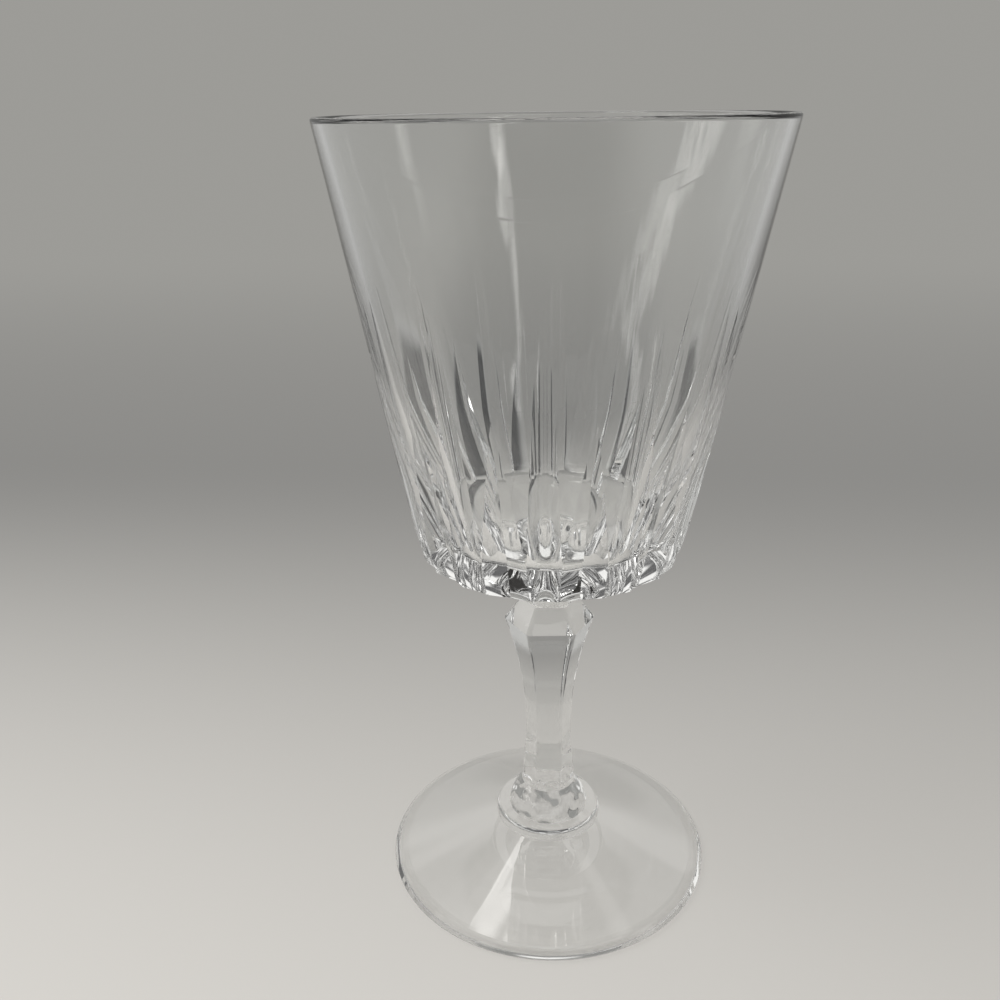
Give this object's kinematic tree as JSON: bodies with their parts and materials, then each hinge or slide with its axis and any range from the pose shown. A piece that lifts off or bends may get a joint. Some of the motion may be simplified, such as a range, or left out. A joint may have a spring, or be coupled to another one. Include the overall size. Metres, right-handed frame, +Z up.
{
  "type": "water goblet",
  "caption": "Clear cut-crystal water goblet: tapered bowl with tall flutes and mitre cuts, six-sided hollow-ground stem, round knop, collar and cone foot.",
  "frame": {"origin": "centre of the plane that the foot's flat ring rests on", "axes": "+Z up along the goblet's axis, from the foot to the rim; -Y towards the viewer of the picture"},
  "size_m": [0.089, 0.089, 0.168],
  "materials": {
    "foot_crystal": "fire-polished clear crystal",
    "collar_crystal": "fire-polished clear crystal",
    "knop_crystal": "fire-polished clear crystal",
    "stem_crystal": "ground and polished clear crystal",
    "neck_crystal": "fire-polished clear crystal",
    "bowl_crystal": "clear crystal, cut and polished below, fire-polished at the rim"
  },
  "bodies": {
    "root": {"foot": "foot_crystal", "foot_collar": "collar_crystal", "base_knop": "knop_crystal", "stem": "stem_crystal", "neck": "neck_crystal", "bowl": "bowl_crystal"}
  },
  "joints": []
}
